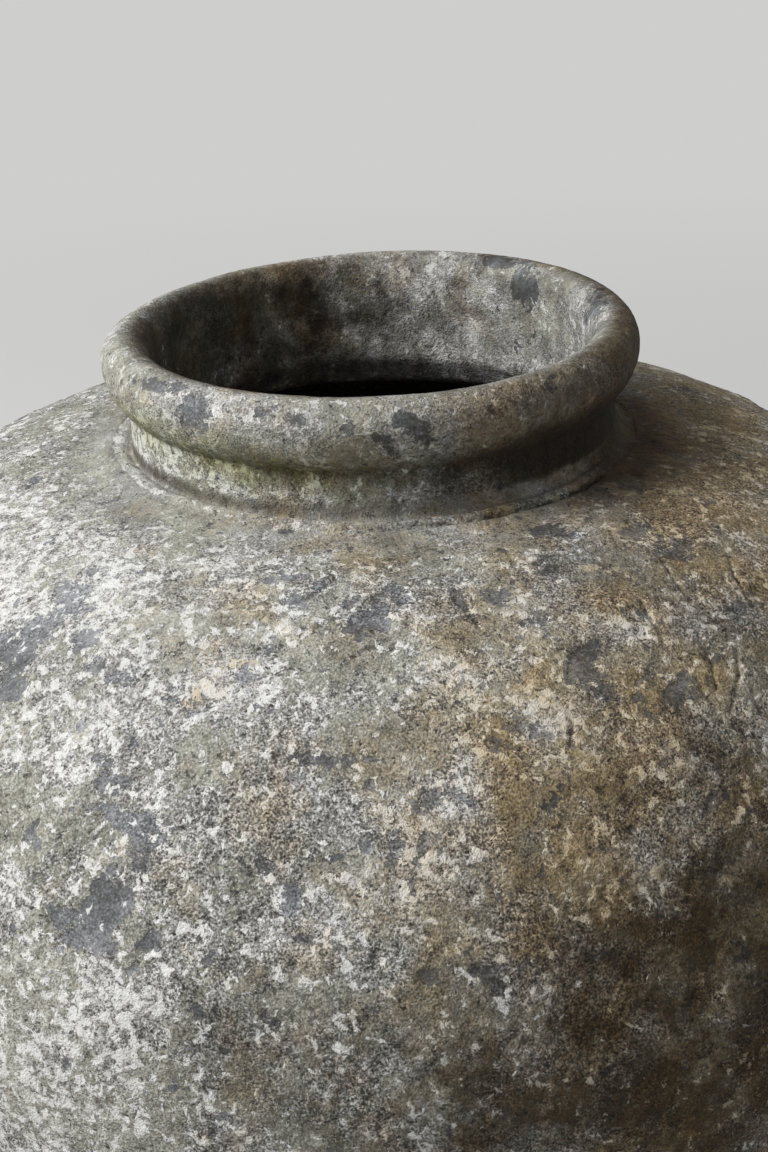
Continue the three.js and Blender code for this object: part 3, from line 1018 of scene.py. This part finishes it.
def crusted(name, brightness=1.0):
    """Fired clay under plates of granular crust with lime on top, worn through in patches."""
    material = bpy.data.materials.new(name)
    n = Nodes(material)
    worm, grit, crumbs, mottle, gaps, cloud = (n.speckle(*kind) for kind in SPECKLES)
    bare_look, lime, warm, dark, moss, cream_look, hollow, calm, plate_look = map(n.look, LOOKS)

    # masks with edges that fray at every scale
    fraying = mottle * 3.0 + gaps * 3.2
    frayed = bare_look + fraying + worm * 1.4
    bare = n.edge(frayed, 0.06, 0.07)
    halo = n.edge(frayed, -0.40, 0.30)
    crusty = 1.0 - bare
    plated = n.edge(plate_look + fraying * 0.8, 0.0, 0.06)
    pitted = n.edge(hollow * 0.18 - gaps, 0.15, 0.03) * (1.0 - bare * 0.6)
    creamy = n.edge(cream_look + fraying * 0.8, 0.0, 0.06)

    # islands of lime, thicker round the bare places, and how light each grain of crust is
    sparse = 0.155 - lime * 0.165 + (calm + dark) * 0.035 - (halo - bare) * 0.025 + plated * 0.03
    islands = n.edge(crumbs, sparse + bare * 0.08, 0.014)
    fine = (1.0 - plated * 0.45) * (1.0 - calm * 0.75)
    grain = (worm * 1.05 + grit * 1.6) * fine + mottle * 0.7
    light = grain + 0.36 + lime * 0.26

    # colours, from the crust up to the soot and painted shade
    tint = warm + cloud * 2.7 + worm * 0.8
    shade = n.mix(tint, n.ramp(light, COOL, brightness), n.ramp(light, TAWNY, brightness))
    shade = n.stain(shade, plated * 0.8, PLATE_STAIN)
    shade = n.mix(creamy * 0.8, shade, colour(*CREAM))
    film = 0.22 + grain * 0.8 + lime * 0.46 - calm * 0.10
    shade = n.mix(bare * 0.95, shade, n.stain(n.ramp(film, SLATE, brightness), tint, RUST_STAIN))
    # dark pits, cracks and flake feet, partly grime and partly painted shade
    shade = n.mix(pitted * 0.7, shade, colour(*PIT))
    pale = n.mix(tint, colour(*LIME_COOL), colour(*LIME_TAWNY))
    shade = n.mix(islands * (0.85 - calm * 0.45), shade, pale)
    shade = n.stain(shade, moss, MOSS_STAIN)
    broken = dark * (1.0 - dark) * (fraying - crumbs * 6.0)
    # soot, together with the painted shade that the dark look carries
    shade = n.stain(shade, (dark + broken) * (1.0 - islands * 0.3), SOOT_AND_SHADE_STAIN)

    # relief finer than the mesh
    height = worm * 0.45 + grit * 0.42 + mottle * 0.9 + islands * 0.14 + plated * 0.16 - pitted * 0.25
    height = height * (0.25 + crusty * 0.75) + crusty * 0.22
    bump = n.put("ShaderNodeBump", {"Height": height, "Strength": 1.0, "Distance": BUMP_DEPTH}).outputs[0]
    rough = 0.93 - bare * 0.24
    shader = n.put("ShaderNodeBsdfPrincipled", {"Base Color": shade, "Roughness": rough, "Normal": bump})
    shader.inputs["Specular IOR Level"].default_value = 0.3
    n.put("ShaderNodeOutputMaterial", {"Surface": shader.outputs[0]})
    return material


MATERIALS = {name: crusted(name) for name in ("pale_crust", "crusted_body", "mossy_neck")}
MATERIALS["bare_foot"] = crusted("bare_foot", 0.85)


# Building
PINHOLE = 0.004  # radius of the hole that is left at the slab's middle, where its rows would meet


def inside_line():
    """The unlit inside, from the base coil up to the throat."""
    _, inside = wall_lines()
    heel = np.array([WALL_FOOT - WALL_THICKNESS / math.cos(FOOT_LEAN), BASE_THICKNESS])
    return np.concatenate([[heel], inside])


def build_jar():
    skin = Skin(Outline(outside_stretches()))
    inside = inside_line()
    cuts = [LAP / ways(inside)[-1] + index / len(COURSES) for index in range(len(COURSES))] + [1]
    cuts[0] = 0
    for index, course in enumerate(COURSES):
        outer = skin.rows(course)
        inner_line = part_of(inside, cuts[index], cuts[index + 1])[::-1]
        inner = plain_rows(resampled(inner_line, INSIDE_GRAIN / ROW_SCALE**0.5), ROUND // COARSE)
        if course != COURSES[-1]:
            ring(outer + inner, "crusted_body", course, lit=len(outer))
            continue
        outer += buried((COLLAR_RADIUS - 2 * MM, SHOULDER_TOP - 4 * MM)) + skin.rows("throat")
        ring(outer + inner[1:], "pale_crust", course, lit=len(outer))

    # collar and neck close a few millimetres inside each other and the shoulder
    collar_floor = SHOULDER_TOP - 3 * MM
    corner = buried((NECK_RADIUS - 3 * MM, collar_floor), (COLLAR_RADIUS - 2 * MM, collar_floor))
    ring(skin.rows("neck_collar") + corner, "mossy_neck", "neck_collar")
    foot = buried((NECK_RADIUS - 4 * MM, SHOULDER_TOP))
    ring(skin.rows("neck_ring") + skin.rows("neck_inside") + foot, "mossy_neck", "neck_ring")
    ring(skin.rows("rim_roll"), "pale_crust", "rim_roll", strips=3)
    build_base(skin.rows("base_slab"))


def flat_rows(start, end, height):
    """Rows of a flat face of the slab, from one radius to another."""
    points = resampled(line((start, height), (end, height), 40), INSIDE_GRAIN)
    return plain_rows(points, ROUND // COARSE)


def build_base(side):
    """The slab, with a pinhole at its middle, and the coil in its corner."""
    top = flat_rows(WALL_FOOT - MM, PINHOLE, BASE_THICKNESS)
    under = flat_rows(PINHOLE, FOOT_RADIUS - FOOT_BEVEL - MM, 0.0)
    for row in under:
        row.places[:, 2] = 0
    ring(side + top + under, "bare_foot", "base_slab", hidden=0.5, lit=len(side))

    corner = WALL_FOOT - (WALL_THICKNESS + COIL_CLEARANCE) / math.cos(FOOT_LEAN)
    top = np.array([corner + SEAM_COIL * math.tan(FOOT_LEAN), BASE_THICKNESS + SEAM_COIL])
    toe = np.array([corner - SEAM_COIL, BASE_THICKNESS])
    low = np.array([corner, BASE_THICKNESS])
    pressed = (top + toe) / 2 * (1 - COIL_HOLLOW) + low * COIL_HOLLOW
    coil = np.concatenate([[low], resampled(drawn(top, pressed, toe), COIL_GRAIN)])
    ring(plain_rows(coil, ROUND // COARSE), "bare_foot", "base_seam_coil")


# Floor, light and camera
PALE = (0.62, 0.62, 0.61, 1)
FLOOR_SEEN, FLOOR_LIGHTING = (0.74, 0.74, 0.73, 1), (0.45, 0.45, 0.44, 1)
FLOOR_REACH, FLOOR_CORNERS = 40.0, 96
FLOOR_FADE = (0.5, 2.2)  # distances over which the floor runs into the backdrop
AMBIENT = (0.94, 0.97, 1.0, 1)
AMBIENT_STRENGTH = 0.24
LIT_HEIGHT = SHOULDER_TOP * 0.8  # the lamps' aim
# Name, place, size, power and colour
LAMPS = (
    ("key", (-2.4, -0.6, 2.6), 1.6, 134, (1.0, 0.99, 0.97)),
    ("fill", (2.2, -2.8, 1.8), 2.5, 16, (0.97, 0.98, 1.0)),
)


def backdrop_share(n):
    """1 for the rays that show the pale backdrop: the camera's, and those of gloss and of glass."""
    path = n.put("ShaderNodeLightPath")
    glossy = n.calc("MAXIMUM", path.outputs["Is Glossy Ray"], path.outputs["Is Transmission Ray"])
    return n.calc("MAXIMUM", path.outputs["Is Camera Ray"], glossy)


def floor_paint():
    """A pale floor that keeps the jar's shadow near it and runs into the backdrop further out."""
    material = bpy.data.materials.new("floor_paint")
    n = Nodes(material)
    looked_at = backdrop_share(n)
    paint = n.put("ShaderNodeBsdfDiffuse", {"Color": n.mix(looked_at, FLOOR_LIGHTING, FLOOR_SEEN)})
    backdrop = n.put("ShaderNodeEmission", {"Color": PALE, "Strength": 1.0})
    spread = n.put("ShaderNodeVectorMath", {0: n.where}, operation="LENGTH").outputs["Value"]
    fade = {"Value": spread, "From Min": FLOOR_FADE[0], "From Max": FLOOR_FADE[1]}
    far = n.put("ShaderNodeMapRange", fade, interpolation_type="SMOOTHSTEP").outputs["Result"]
    share = looked_at * far
    both = n.put("ShaderNodeMixShader", {0: share, 1: paint.outputs[0], 2: backdrop.outputs[0]})
    n.put("ShaderNodeOutputMaterial", {"Surface": both.outputs[0]})
    return material


def build_floor():
    mesh = bpy.data.meshes.new("floor")
    turns = [2 * math.pi * i / FLOOR_CORNERS for i in range(FLOOR_CORNERS)]
    corners = [(FLOOR_REACH * math.cos(turn), FLOOR_REACH * math.sin(turn), 0) for turn in turns]
    mesh.from_pydata(corners, [], [tuple(range(FLOOR_CORNERS))])
    mesh.materials.append(floor_paint())
    floor = put_in_scene("floor", mesh)


def pose(place, right, up, forward):
    """The matrix of a camera or lamp that looks forward from its place."""
    matrix = np.eye(4)
    matrix[:3] = np.stack([right, up, -forward, place], 1)
    return Matrix(matrix.tolist())


def add_lamp(name, place, size, power, shade):
    lamp = bpy.data.lights.new(name, "AREA")
    lamp.shape = "DISK"
    lamp.size = size
    lamp.energy = power
    lamp.color = shade
    thing = put_in_scene(name, lamp)
    forward = np.array((0.0, 0.0, LIT_HEIGHT)) - place
    forward /= np.linalg.norm(forward)
    thing.matrix_world = pose(place, *right_and_up(forward), forward)


def build_light():
    world = bpy.data.worlds.new("studio")
    bpy.context.scene.world = world
    n = Nodes(world)
    ambient = n.put("ShaderNodeBackground", {"Color": AMBIENT, "Strength": AMBIENT_STRENGTH})
    backdrop = n.put("ShaderNodeBackground", {"Color": PALE, "Strength": 1.0})
    share = backdrop_share(n)
    both = n.put("ShaderNodeMixShader", {0: share, 1: ambient.outputs[0], 2: backdrop.outputs[0]})
    n.put("ShaderNodeOutputWorld", {"Surface": both.outputs[0]})
    for lamp in LAMPS:
        add_lamp(*lamp)


def build_camera():
    camera = bpy.data.cameras.new("camera")
    camera.sensor_fit = "AUTO"
    camera.sensor_width = SENSOR
    camera.lens = FOCAL_PIXELS / PHOTO_HEIGHT * SENSOR
    camera.clip_start = 0.01
    camera.clip_end = 200
    thing = put_in_scene("camera", camera)
    thing.matrix_world = pose(*camera_axes())
    bpy.context.scene.camera = thing


build_jar()
build_floor()
build_light()
build_camera()
bpy.context.scene.view_settings.view_transform = "Standard"
